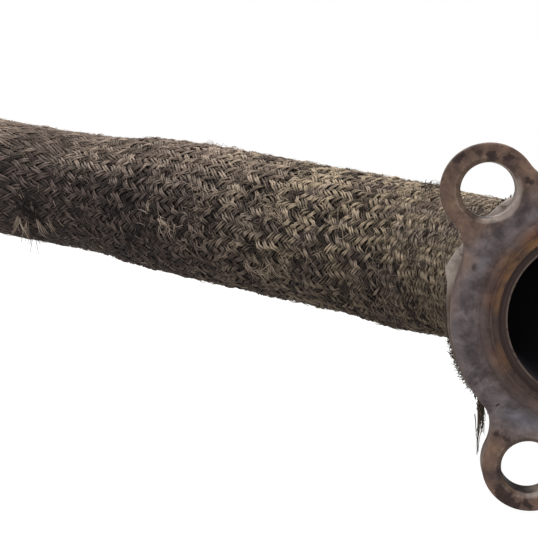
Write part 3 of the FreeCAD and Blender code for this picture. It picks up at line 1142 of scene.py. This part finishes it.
    def _lining(self) -> bpy.types.Object:
        """Makes the dark tube that shows between the yarns, coloured near black as painted shade in the gaps.

        Returns:
            The new piece.
        """
        mesh, ring, angle = tube_template(self.lining_rings, self.lining_sides)
        first, last = self.start + self.lining_inset, self.last - self.lining_inset
        spots = np.linspace(first, last, self.lining_rings)[ring]
        radius = np.maximum(self.crest(spots, angle) - self.proud - self.lining_depth, self.core)
        mesh.vertices.foreach_set("co", self.route.on_surface(spots, angle, radius).ravel())
        shape = bmesh.new()
        shape.from_mesh(mesh)
        caps = [face for face in shape.faces if len(face.verts) > 4]
        bmesh.ops.delete(shape, geom=caps, context="FACES_ONLY")
        bmesh.ops.recalc_face_normals(shape, faces=shape.faces)
        bmesh.ops.solidify(shape, geom=shape.faces[:], thickness=self.lining_wall)
        shape.to_mesh(mesh)
        shape.free()
        finish = FibreFinish("braid_lining", FibreTone.LINING).make()
        return new_piece("sleeve_lining", mesh, finish)


@dataclass(frozen=True)
class Tuft:
    """Place where broken fibres stand off the sleeve together.

    The station, length and spread are in millimetres, the angle in degrees and the lean in radians.
    """

    station: float
    angle: float
    hairs: int
    length: float
    spread: float
    rise: float = 1.0
    lean: Optional[float] = None
    tone: float = 0.8
    weight: float = 1.0
    droop: float = 0.0


@dataclass
class Fuzz:
    """Broken fibres that stand off the sleeve."""

    sleeve: BraidedSleeve
    hairs: int = 3600
    stubs: int = 2600
    brush: int = 1500
    length: float = 2.6 * MM
    thickness: float = 0.085 * MM
    stub_thickness: float = 0.26 * MM
    brush_thickness: Span = (0.1 * MM, 0.24 * MM)
    points: int = 5
    root: float = 0.12 * MM
    near_bare: float = 15.0 * MM
    far_bare: float = 16.0 * MM
    held_end: float = 14.0 * MM
    brush_span: Span = (34.0 * MM, 72.0 * MM)
    brush_arc: Span = (110.0, 262.0)
    stub_middle: float = 118.0 * MM
    stub_spread: float = 42.0 * MM
    stub_bare: float = 20.0 * MM
    tuft_radius: float = 17.0 * MM
    seed: int = 23
    tufts: tuple[Tuft, ...] = (
        Tuft(185, 214, 12, 5.4, 0.7, 0.8, 1.6, 0.95, 3.0, 0.7),
        Tuft(182, 216, 9, 5.6, 0.7, 0.9, 1.5, 0.85, 2.2, 1.0),
        Tuft(180, 222, 4, 5.6, 0.5, 0.9, 1.5, 0.3, 2.4, 1.6),
        Tuft(177, 214, 12, 4.6, 1.2, 0.8, 2.2, 0.85, 2.0, 0.6),
        Tuft(173, 212, 10, 3.4, 1.8, 0.8, 2.3, 0.8, 1.6, 0.4),
        Tuft(178, 204, 30, 3.0, 2.6, 0.6, None, 0.05, 3.2),
        Tuft(182, 203, 26, 3.0, 2.6, 0.6, None, 0.05, 3.2),
        Tuft(134, 181, 7, 3.4, 0.8, 0.9, -1.4, 1.0, 1.5),
        Tuft(130, 186, 12, 3.6, 1.2, 0.9, 2.6, 1.0, 1.5),
        Tuft(127, 190, 14, 3.4, 1.6, 0.8, 1.9, 0.95, 1.4),
        Tuft(104, 207, 10, 4.4, 0.8, 1.0, 2.2, 1.0, 1.9),
        Tuft(101, 212, 12, 4.4, 1.0, 0.9, 3.0, 1.0, 1.7),
        Tuft(97, 204, 10, 4.2, 0.8, 1.0, 1.3, 1.0, 1.9),
        Tuft(110, 162, 18, 2.0, 0.9, 0.7, 0.4, 1.0, 1.7),
        Tuft(98, 160, 14, 3.2, 1.2, 0.7, 0.7, 0.95, 1.6),
        Tuft(95, 166, 12, 3.0, 1.2, 0.7, -0.6, 0.95, 1.6),
        Tuft(99, 131, 8, 3.4, 0.6, 0.6, -0.7, 1.0, 1.7),
        Tuft(104, 150, 8, 3.0, 0.8, 0.6, 2.4, 0.95, 1.5),
        Tuft(120, 158, 12, 2.6, 2.5, 0.7, None, 0.95, 1.4),
        Tuft(88, 186, 12, 2.6, 3.0, 0.6, None, 0.9, 1.4),
        Tuft(128, 92, 14, 2.6, 2.4, 1.5),
        Tuft(123, 90, 16, 2.8, 2.4, 1.6),
        Tuft(66, 102, 14, 3.0, 1.6, 1.6, 2.8, 0.3),
        Tuft(64, 100, 12, 2.6, 1.2, 1.4, 2.6, 0.3),
    )

    def build(self) -> None:
        """Makes all the loose fibres as one piece."""
        dice = np.random.RandomState(self.seed)
        bundle = StrandBundle("sleeve_fuzz", 3)
        for add in (self._loose, self._brushed, self._worn, self._tufted):
            add(bundle, dice)
        finish = FibreFinish("loose_fibre", FibreTone.FUZZ).make()
        piece = new_piece("sleeve_fuzz", bundle.finish(), finish)
        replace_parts(piece, "braided_sleeve")

    @property
    def last(self) -> float:
        """Station of the last loose fibre."""
        return self.sleeve.route.length - self.far_bare

    @staticmethod
    def _lean(dice: np.random.RandomState, slant: float, spread: float) -> float:
        """Direction of a fibre that lies near one set of yarns or the other."""
        return dice.choice([-1.0, 1.0]) * slant + dice.choice([0.0, math.pi]) + dice.normal(0, spread)

    def _loose(self, bundle: StrandBundle, dice: np.random.RandomState) -> None:
        """Adds single fibres all over the sleeve.

        Args:
            bundle: the mesh of the fibres.
            dice: seeded source of random numbers.
        """
        for _ in range(self.hairs):
            station = dice.uniform(self.near_bare, self.last)
            angle = dice.uniform(-math.pi, math.pi)
            length = self.length * dice.uniform(0.3, 1.2)
            tone = dice.uniform(0.35, 1.0)
            self._hair(bundle, dice, station, angle, length, 0.55, None, tone, self.thickness)

    def _brushed(self, bundle: StrandBundle, dice: np.random.RandomState) -> None:
        """Adds the brushed-up fibres of the elbow's photographed side.

        Args:
            bundle: the mesh of the fibres.
            dice: seeded source of random numbers.
        """
        for _ in range(self.brush):
            station = dice.uniform(*self.brush_span)
            angle = math.radians(dice.uniform(*self.brush_arc))
            lean = self._lean(dice, 1.15, 0.5)
            tone = float(dice.choice([0.05, 0.55, 0.8, 1.0]))
            length = self.length * dice.uniform(0.4, 1.0)
            thick = dice.uniform(*self.brush_thickness)
            self._hair(bundle, dice, station, angle, length, 0.45, lean, tone, thick)

    def _worn(self, bundle: StrandBundle, dice: np.random.RandomState) -> None:
        """Adds short thick ends of broken yarns where the sleeve is worn.

        Args:
            bundle: the mesh of the fibres.
            dice: seeded source of random numbers.
        """
        for _ in range(self.stubs):
            station = dice.normal(self.stub_middle, self.stub_spread)
            station = float(np.clip(station, self.stub_bare, self.last))
            angle = dice.uniform(-math.pi, math.pi)
            worn = float(self.sleeve.wear.at(np.array(station), np.array(angle)))
            if worn + dice.normal(0, 0.5) < 0.1:
                continue
            length = self.length * dice.uniform(0.5, 1.2)
            lean = self._lean(dice, 0.8, 0.3)
            thick = self.stub_thickness * dice.uniform(0.5, 1.25)
            tone = dice.uniform(0.5, 1.0)
            self._hair(bundle, dice, station, angle, length, 0.5, lean, tone, thick)

    def _tufted(self, bundle: StrandBundle, dice: np.random.RandomState) -> None:
        """Adds the tufts.

        Args:
            bundle: the mesh of the fibres.
            dice: seeded source of random numbers.
        """
        for tuft in self.tufts:
            for _ in range(tuft.hairs):
                station = (tuft.station + dice.normal(0, tuft.spread * 0.5)) * MM
                aside = dice.normal(0, tuft.spread * 0.5) * MM
                angle = math.radians(tuft.angle) + aside / self.tuft_radius
                length = tuft.length * MM * dice.uniform(0.5, 1.15)
                lean = None if tuft.lean is None else tuft.lean + dice.normal(0, 0.35)
                tone = float(np.clip(tuft.tone + dice.normal(0, 0.12), 0, 1))
                thick = self.thickness * dice.uniform(1.2, 2.4) * tuft.weight
                self._hair(bundle, dice, station, angle, length, tuft.rise, lean, tone, thick, tuft.droop)

    def _hair(
        self, bundle: StrandBundle, dice: np.random.RandomState, station: float, angle: float,
        length: float, rise: float, lean: Optional[float], tone: float, thickness: float, droop: float = 0.0,
    ) -> None:
        """Adds one curved fibre that starts in the braid.

        Args:
            bundle: the mesh of the fibres.
            dice: seeded source of random numbers.
            station: distance along the route of its root.
            angle: angle round the route of its root.
            length: its length.
            rise: how far it stands off the sleeve.
            lean: its direction on the sleeve, or None for any direction.
            tone: its lightness of 0 to 1.
            thickness: its thickness at the root.
            droop: how far it hangs down.
        """
        spots = np.linspace(0, 1, self.points)
        way = dice.uniform(-math.pi, math.pi) if lean is None else lean
        heading = way + dice.uniform(-1.3, 1.3) * spots
        step = length / (self.points - 1)
        along, aside = (
            np.concatenate([[0.0], np.cumsum(part(heading[1:]) * step)]) for part in (np.cos, np.sin)
        )
        base = float(self.sleeve.crest(np.array([station]), np.array([angle]))[0])
        arch = np.sin(spots * math.pi * dice.uniform(0.35, 0.95))
        radius = base - self.root + length * 0.35 * rise * arch * dice.uniform(0.3, 1.0)
        stations = np.clip(station + along, self.held_end, self.sleeve.route.length - self.held_end)
        angles = angle + aside / base
        path = self.sleeve.route.on_surface(stations, angles, radius)
        path[:, 1] -= droop * 0.25 * length * spots
        path[:, 2] -= droop * 0.5 * length * spots ** 1.5
        normal = self.sleeve.route.outward(stations, angles)
        bundle.add_hair(path, normal, thickness * (1 - 0.7 * spots), tone)


@dataclass
class NearCollar:
    """Pressed collar behind the near flange, bent out at its upper left, with fibres caught behind it.

    Arcs are in degrees round the axis, from its right side upwards.
    """

    end: EndFrame
    front: float = 4.0 * MM
    sheet: float = 1.0 * MM
    rim: float = 23.8 * MM
    neck: float = 16.4 * MM
    neck_end: float = 13.0 * MM
    bend: float = 1.6 * MM
    bent_at: float = math.radians(168.5)
    bent_width: float = math.radians(6.5)
    bent_out: float = 1.2 * MM
    bent_back: float = 0.7 * MM
    bent_crease: float = 0.24 * MM
    drawn_at: float = math.radians(210.0)
    drawn_width: float = math.radians(27.0)
    drawn_in: float = 0.5 * MM
    crease: float = 0.08 * MM
    ripple: float = 0.05 * MM
    shaped_from: float = 20.5 * MM
    shaped_over: float = 3.0 * MM
    bend_steps: int = 6
    turn_steps: int = 240
    fibre_root: float = 18.6 * MM
    fibre_points: int = 6
    edge_fibres: int = 1000
    edge_arc: Span = (164.0, 236.0)
    edge_lower: Span = (186.0, 220.0)
    hole_shadow_fibres: int = 260
    hole_shadow_arc: Span = (131.0, 152.0)
    bend_fibres: int = 40
    bend_middle: float = 166.0
    bend_spread: float = 6.0
    tuft_fibres: int = 44
    tuft_points: int = 7
    tuft_place: tuple[float, float, float] = (-14.7, 5.2, -18.9)
    tuft_drop: Span = (2.2, 5.0)
    tuft_long_drop: Span = (6.5, 9.6)
    tuft_long_share: float = 0.16
    seed: int = 31

    def build(self) -> None:
        """Makes the collar and its fringe of fibres."""
        finish = CollarFinish("collar_bent", self.end).make()
        collar = new_piece("near_collar_bent", self._sheet(), finish)
        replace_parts(collar, "near_collar")
        self._fringe()

    def _profile(self) -> list[tuple[float, float]]:
        """Corners of the sheet's section.

        Returns:
            Pairs of the distance along the axis and the distance from it.
        """
        back = self.front + self.sheet
        small = self.bend + self.sheet
        half = self.sheet / 2
        steps = self.bend_steps
        curve = [(1 - math.cos(turn), 1 - math.sin(turn)) for turn in np.linspace(0, math.pi / 2, steps)]
        rolled = [(math.sin(turn), math.cos(turn)) for turn in np.linspace(-math.pi / 2, math.pi / 2, steps)]
        section = [(self.front + half + half * a, self.rim - half + half * b) for a, b in rolled]
        outer = self.neck + self.sheet
        section += [(back + self.bend * a, outer + self.bend * b) for a, b in curve]
        section += [(self.neck_end, outer), (self.neck_end, self.neck)]
        section += [(self.front + small * a, self.neck + small * b) for a, b in reversed(curve)]
        return section

    def _sheet(self) -> bpy.types.Mesh:
        """Spins the section round the axis and bends its rim.

        Returns:
            The collar's mesh.
        """
        shape = bmesh.new()
        corners = [shape.verts.new((radius, along, 0)) for along, radius in self._profile()]
        edges = [shape.edges.new(pair) for pair in zip(corners, corners[1:] + corners[:1])]
        bmesh.ops.spin(
            shape, geom=corners + edges, cent=(0, 0, 0), axis=(0, 1, 0), angle=2 * math.pi,
            steps=self.turn_steps, use_merge=True, use_duplicate=False,
        )
        bmesh.ops.remove_doubles(shape, verts=shape.verts, dist=1e-6)
        bmesh.ops.recalc_face_normals(shape, faces=shape.faces)
        dice = np.random.RandomState(self.seed)
        waves = LieField(dice, 5, 0.2, 1.2)
        for vert in shape.verts:
            radius = math.hypot(vert.co.x, vert.co.z)
            angle = math.atan2(vert.co.z, vert.co.x)
            part = min(1.0, max(0.0, (radius - self.shaped_from) / self.shaped_over))
            bulge = math.exp(-(turn_between(self.bent_at, angle) / self.bent_width) ** 2)
            tuck = math.exp(-(turn_between(self.drawn_at, angle) / self.drawn_width) ** 4)
            wave = float(waves.at(np.array(0.0), np.array(angle * 6)))
            crease = self.crease + self.bent_crease * bulge
            grow = part * (self.bent_out * bulge + crease * wave - self.drawn_in * tuck)
            scale = (radius + grow) / radius
            vert.co.x *= scale
            vert.co.z *= scale
            vert.co.y += part * (self.bent_back * bulge + self.ripple * (wave + 1))
        for face in shape.faces:
            face.smooth = True
        mesh = bpy.data.meshes.new("near_collar_bent")
        shape.to_mesh(mesh)
        shape.free()
        return mesh

    def _fringe(self) -> None:
        """Fibres that poke out past the collar's rim, and the tuft that hangs from it."""
        dice = np.random.RandomState(self.seed + 1)
        bundle = StrandBundle("collar_fringe", 3)
        first, last = self.edge_arc
        low, lowest = self.edge_lower
        for _ in range(self.edge_fibres):
            angle = first + (last - first) * dice.uniform(0, 1) ** 0.8
            lower = max(0.0, min(1.0, (angle - low) / (lowest - low)))
            out = dice.uniform(-0.9, 0.25 * lower) + 0.4 * lower * dice.uniform(0, 1) ** 4
            tone, thick = dice.uniform(0.2, 0.85), dice.uniform(0.14, 0.34)
            self._fibre(bundle, dice, angle, out, 0.5, tone, thick)
        # Painted shadow: near-black fibres round the rim at the upper bolt hole stand for the shadow along
        # the collar's edge there.
        for _ in range(self.hole_shadow_fibres):
            angle, out = dice.uniform(*self.hole_shadow_arc), dice.uniform(-0.3, 0.3)
            tone, thick = dice.uniform(0.0, 0.12), dice.uniform(0.2, 0.36)
            self._fibre(bundle, dice, angle, out, 0.3, tone, thick)
        for _ in range(self.bend_fibres):
            angle, out = dice.normal(self.bend_middle, self.bend_spread), dice.uniform(0.3, 1.4)
            self._fibre(bundle, dice, angle, out, 0.07, dice.uniform(0.6, 1.0), 0.12)
        self._hanging_tuft(bundle, dice)
        finish = FibreFinish("fringe_fibre", FibreTone.FUZZ).make()
        piece = new_piece("collar_fringe", bundle.finish(), finish)
        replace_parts(piece, "braided_sleeve")

    def _hanging_tuft(self, bundle: StrandBundle, dice: np.random.RandomState) -> None:
        """Adds the pointed tuft that hangs from the rim.

        Args:
            bundle: the mesh of the fringe.
            dice: seeded source of random numbers.
        """
        x, y, z = self.tuft_place
        count = self.tuft_points
        spots = np.linspace(0, 1, count)
        normal = np.tile([0.0, -1.0, 0.0], (count, 1))
        for _ in range(self.tuft_fibres):
            start = Vector((x + dice.normal(0, 0.5), y + dice.uniform(0, 1.2), z + dice.normal(0, 0.8))) * MM
            drop = dice.uniform(*self.tuft_drop) * MM
            if dice.uniform() < self.tuft_long_share:
                drop = dice.uniform(*self.tuft_long_drop) * MM
            sway = (x * MM - start.x) * 0.8 + dice.normal(0.9, 0.25) * MM
            path = np.stack([
                start.x + sway * spots ** 0.8 + 0.25 * MM * drift(dice, count, 2) * spots,
                start.y + 0.5 * MM * spots * dice.uniform(-1, 1),
                start.z - drop * spots,
            ], 1)
            thick = dice.uniform(0.14, 0.34) * MM * (1 - 0.75 * spots)
            bundle.add_hair(path, normal, thick, dice.uniform(0.3, 0.75))

    def _fibre(
        self, bundle: StrandBundle, dice: np.random.RandomState, angle: float, out: float,
        sweep: float, tone: float, thickness: float,
    ) -> None:
        """Adds one fibre from the sleeve's end out to the rim.

        Args:
            bundle: the mesh of the fringe.
            dice: seeded source of random numbers.
            angle: its angle round the axis, in degrees.
            out: how far it reaches past the rim, in millimetres.
            sweep: how far it leans round the axis, in radians.
            tone: its lightness of 0 to 1.
            thickness: its thickness at the root, in millimetres.
        """
        count = self.fibre_points
        spots = np.linspace(0, 1, count)
        radius = self.fibre_root + (self.rim + out * MM - self.fibre_root) * spots
        turn = math.radians(angle) + dice.normal(0, sweep) * spots + 0.02 * drift(dice, count, 2)
        depth = self.front + self.sheet + (0.25 + 1.6 * (1 - spots) + dice.uniform(0, 1.1) * spots) * MM
        path = np.stack([radius * np.cos(turn), depth, radius * np.sin(turn)], 1)
        tangent = np.gradient(path, axis=0)
        normal = np.cross(tangent, np.cross([0.0, 1.0, 0.0], tangent))
        normal /= np.linalg.norm(normal, axis=1)[:, None]
        bundle.add_hair(path, normal, thickness * MM * (1 - 0.6 * spots), tone)


@dataclass
class Metalwork:
    """Finishes of the steel pieces that the frame already holds."""

    route: Route
    bolt_circle: float = 27.25 * MM
    ear_count: int = 3
    near_ear_angle: float = math.radians(17.5)
    far_ear_angle: float = math.radians(30.0)
    soot_marks: tuple[Mark, ...] = plate_marks(
        (-25.8, 22.9, 1.0, 1.0), (-24.9, 23.4, 0.9, 1.0), (-20.6, 24.0, 1.35, 0.9), (-17.9, 24.1, 0.95, 0.9),
        (-16.4, 22.9, 0.9, 0.5), (-14.3, 20.9, 1.0, 0.9), (-28.3, 18.8, 0.9, 0.6), (-12.7, -16.7, 0.45, 1.0),
        (-9.9, -31.6, 1.7, 1.0), (-8.4, -32.8, 1.7, 1.0), (-6.8, -33.6, 1.4, 1.0), (-5.0, -33.0, 1.2, 0.9),
        (-12.0, -21.8, 1.0, 0.7), (-10.6, -22.0, 0.9, 0.7),
    )
    rust_marks: tuple[Mark, ...] = plate_marks(
        (-10.6, 12.4, 5.0, 0.85), (-14.8, 6.6, 4.2, 0.65), (-16.0, 1.2, 3.6, 0.5), (-13.8, -9.0, 3.4, 0.35),
    )

    @property
    def near_end(self) -> EndFrame:
        """The end by the camera."""
        return EndFrame(Vector((0, 0, 0)), Vector((0, 1, 0)), Vector((1, 0, 0)))

    @property
    def far_end(self) -> EndFrame:
        """The other end.

        Returns:
            Its place and directions.
        """
        rotation = Matrix.Rotation(float(self.route.turns[-1]) + math.pi, 3, "Z")
        axis, across = (rotation @ Vector(way) for way in ((0, 1, 0), (1, 0, 0)))
        return EndFrame(Vector(self.route.points[-1]), axis, across)

    def build(self) -> None:
        """Gives each steel node its material."""
        near, far = self.near_end, self.far_end
        near_tube = TubeFinish("near_tube_soot", near).make()
        far_tube = TubeFinish("far_tube_soot", far).make()
        near_weld = WeldFinish("near_weld_rust", near, self.rust_marks).make()
        far_weld = WeldFinish("far_weld_rust", far).make()
        marks = (self.soot_marks, self.rust_marks)
        finishes = {
            "near_flange": self._flange("near_flange_steel", near, self.near_ear_angle, *marks),
            "far_flange": self._flange("far_flange_steel", far, self.far_ear_angle),
            "near_collar": CollarFinish("near_collar_sheet", near).make(),
            "far_collar": CollarFinish("far_collar_sheet", far).make(),
            "near_spigot": near_tube, "near_elbow": near_tube, "near_run": near_tube, "bellows": near_tube,
            "far_pipe": far_tube, "near_face_weld": near_weld, "near_back_weld": near_weld,
            "near_cuff_weld": near_weld, "far_cuff_weld": far_weld, "far_back_weld": far_weld,
            "far_face_weld": far_weld,
        }
        for node, finish in finishes.items():
            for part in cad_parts[node].material_slots:
                part.material = finish
            log.info("%s: %s", node, finish.name)

    def _flange(
        self, name: str, end: EndFrame, first: float,
        soot: tuple[Mark, ...] = (), rust: tuple[Mark, ...] = (),
    ) -> bpy.types.Material:
        """Material of one flange, with its pattern centred on that flange's bore.

        Args:
            name: the material's name.
            end: the flange's end of the pipe.
            first: angle of its first ear.
            soot: its soot marks.
            rust: its rust marks.

        Returns:
            The finished material.
        """
        ears = []
        for index in range(self.ear_count):
            angle = first + index * 2 * math.pi / self.ear_count
            ears.append(Mark(math.cos(angle) * self.bolt_circle, math.sin(angle) * self.bolt_circle, 0))
        return FlangeFinish(name, end, tuple(ears), soot, rust).make()


@dataclass(frozen=True)
class Lamp:
    """Square soft lamp: its place in millimetres, its side in metres and its power in watts."""

    name: str
    place: tuple[float, float, float]
    side: float
    power: float


@dataclass
class Studio:
    """Floor, light and camera. The camera's place and the point that the lamps aim at are in millimetres."""

    camera_place: tuple[float, float, float] = (-34.81, -140.60, 21.69)
    forward: tuple[float, float, float] = (-0.13434, 0.97946, -0.15038)
    upward: tuple[float, float, float] = (-0.15139, 0.12969, 0.97993)
    lens: float = 56.15
    sensor: float = 36.0
    nearest: float = 10.0 * MM
    aim: tuple[float, float, float] = (-60.0, 20.0, 0.0)
    lamps: tuple[Lamp, ...] = (
        Lamp("top_light", (-140.0, -40.0, 720.0), 0.6, 5.4),
        Lamp("front_light", (-160.0, -640.0, 260.0), 0.5, 1.1),
        Lamp("back_light", (-60.0, 520.0, 360.0), 0.5, 1.6),
    )
    world_light: float = 0.28
    floor_half: float = 6.0
    floor_gap: float = 0.2 * MM
    floor_tone: Colour = (0.32, 0.31, 0.3)
    floor_pale: Colour = (0.9, 0.9, 0.9)
    floor_glow: float = 1.14
    floor_glow_share: float = 0.85

    def build(self) -> None:
        """Makes the floor, the world, the lamps and the camera."""
        low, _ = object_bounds()
        self._floor(low[2])
        self._world()
        for lamp in self.lamps:
            self._lamp(lamp)
        self._camera()
        bpy.context.scene.view_settings.view_transform = "Standard"

    def _floor(self, height: float) -> None:
        """Pale floor that keeps a soft shadow.

        Args:
            height: lowest point of the object.
        """
        shape = bmesh.new()
        bmesh.ops.create_grid(shape, x_segments=1, y_segments=1, size=self.floor_half)
        bmesh.ops.translate(shape, verts=shape.verts, vec=(0, 0, height - self.floor_gap))
        mesh = bpy.data.meshes.new("floor")
        shape.to_mesh(mesh)
        shape.free()
        tree = FinishTree("floor_white")
        seen, glossy = (
            tree.node("ShaderNodeLightPath", output=ray) for ray in ("Is Camera Ray", "Is Glossy Ray")
        )
        flat = tree.node("ShaderNodeBsdfDiffuse", None, {"Color": self.floor_tone})
        pale = tree.node("ShaderNodeBsdfDiffuse", None, {"Color": self.floor_pale})
        light = {"Color": (1.0, 1.0, 1.0), "Strength": self.floor_glow}
        white = tree.node("ShaderNodeEmission", None, light)
        shown = tree.node("ShaderNodeMixShader", None, {0: self.floor_glow_share, 1: pale, 2: white})
        mixed = tree.node("ShaderNodeMixShader", None, {0: seen.largest(glossy), 1: flat, 2: shown})
        tree.links.new(mixed.socket, tree.output.inputs["Surface"])
        mesh.materials.append(tree.material)
        floor = bpy.data.objects.new("floor", mesh)
        bpy.context.scene.collection.objects.link(floor)
        floor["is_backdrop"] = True

    def _world(self) -> None:
        """Even light from all round, and plain white behind the object."""
        world = bpy.data.worlds.new("studio")
        bpy.context.scene.world = world
        world.use_nodes = True
        nodes = world.node_tree.nodes
        links = world.node_tree.links
        nodes.clear()
        output = nodes.new("ShaderNodeOutputWorld")
        path = nodes.new("ShaderNodeLightPath")
        strength = nodes.new("ShaderNodeMapRange")
        strength.inputs["To Min"].default_value = self.world_light
        strength.inputs["To Max"].default_value = 1.0
        background = nodes.new("ShaderNodeBackground")
        background.inputs["Color"].default_value = (1.0, 1.0, 1.0, 1.0)
        links.new(path.outputs["Is Camera Ray"], strength.inputs["Value"])
        links.new(strength.outputs["Result"], background.inputs["Strength"])
        links.new(background.outputs["Background"], output.inputs["Surface"])

    def _lamp(self, lamp: Lamp) -> None:
        """Adds one lamp.

        Args:
            lamp: its place, side and power.
        """
        data = bpy.data.lights.new(lamp.name, "AREA")
        data.size = lamp.side
        data.energy = lamp.power
        made = bpy.data.objects.new(lamp.name, data)
        place = Vector(lamp.place) * MM
        made.location = place
        made.rotation_euler = (Vector(self.aim) * MM - place).to_track_quat("-Z", "Y").to_euler()
        bpy.context.scene.collection.objects.link(made)

    def _camera(self) -> None:
        """Camera at the photograph's place, with its lean."""
        data = bpy.data.cameras.new("camera")
        data.sensor_width = self.sensor
        data.lens = self.lens
        data.clip_start = self.nearest
        camera = bpy.data.objects.new("camera", data)
        forward = Vector(self.forward).normalized()
        right = forward.cross(Vector(self.upward)).normalized()
        turn = Matrix((right, right.cross(forward), -forward)).transposed()
        camera.matrix_world = Matrix.Translation(Vector(self.camera_place) * MM) @ turn.to_4x4()
        bpy.context.scene.collection.objects.link(camera)
        bpy.context.scene.camera = camera


def main() -> None:
    """Dresses the frame and adds what it leaves out."""
    logging.basicConfig(level=logging.INFO, format="%(message)s")
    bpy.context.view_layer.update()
    route = Route()
    Studio().build()
    metalwork = Metalwork(route)
    metalwork.build()
    NearCollar(metalwork.near_end).build()
    sleeve = BraidedSleeve(route)
    sleeve.build()
    Fuzz(sleeve).build()


if __name__ == "__main__":
    main()
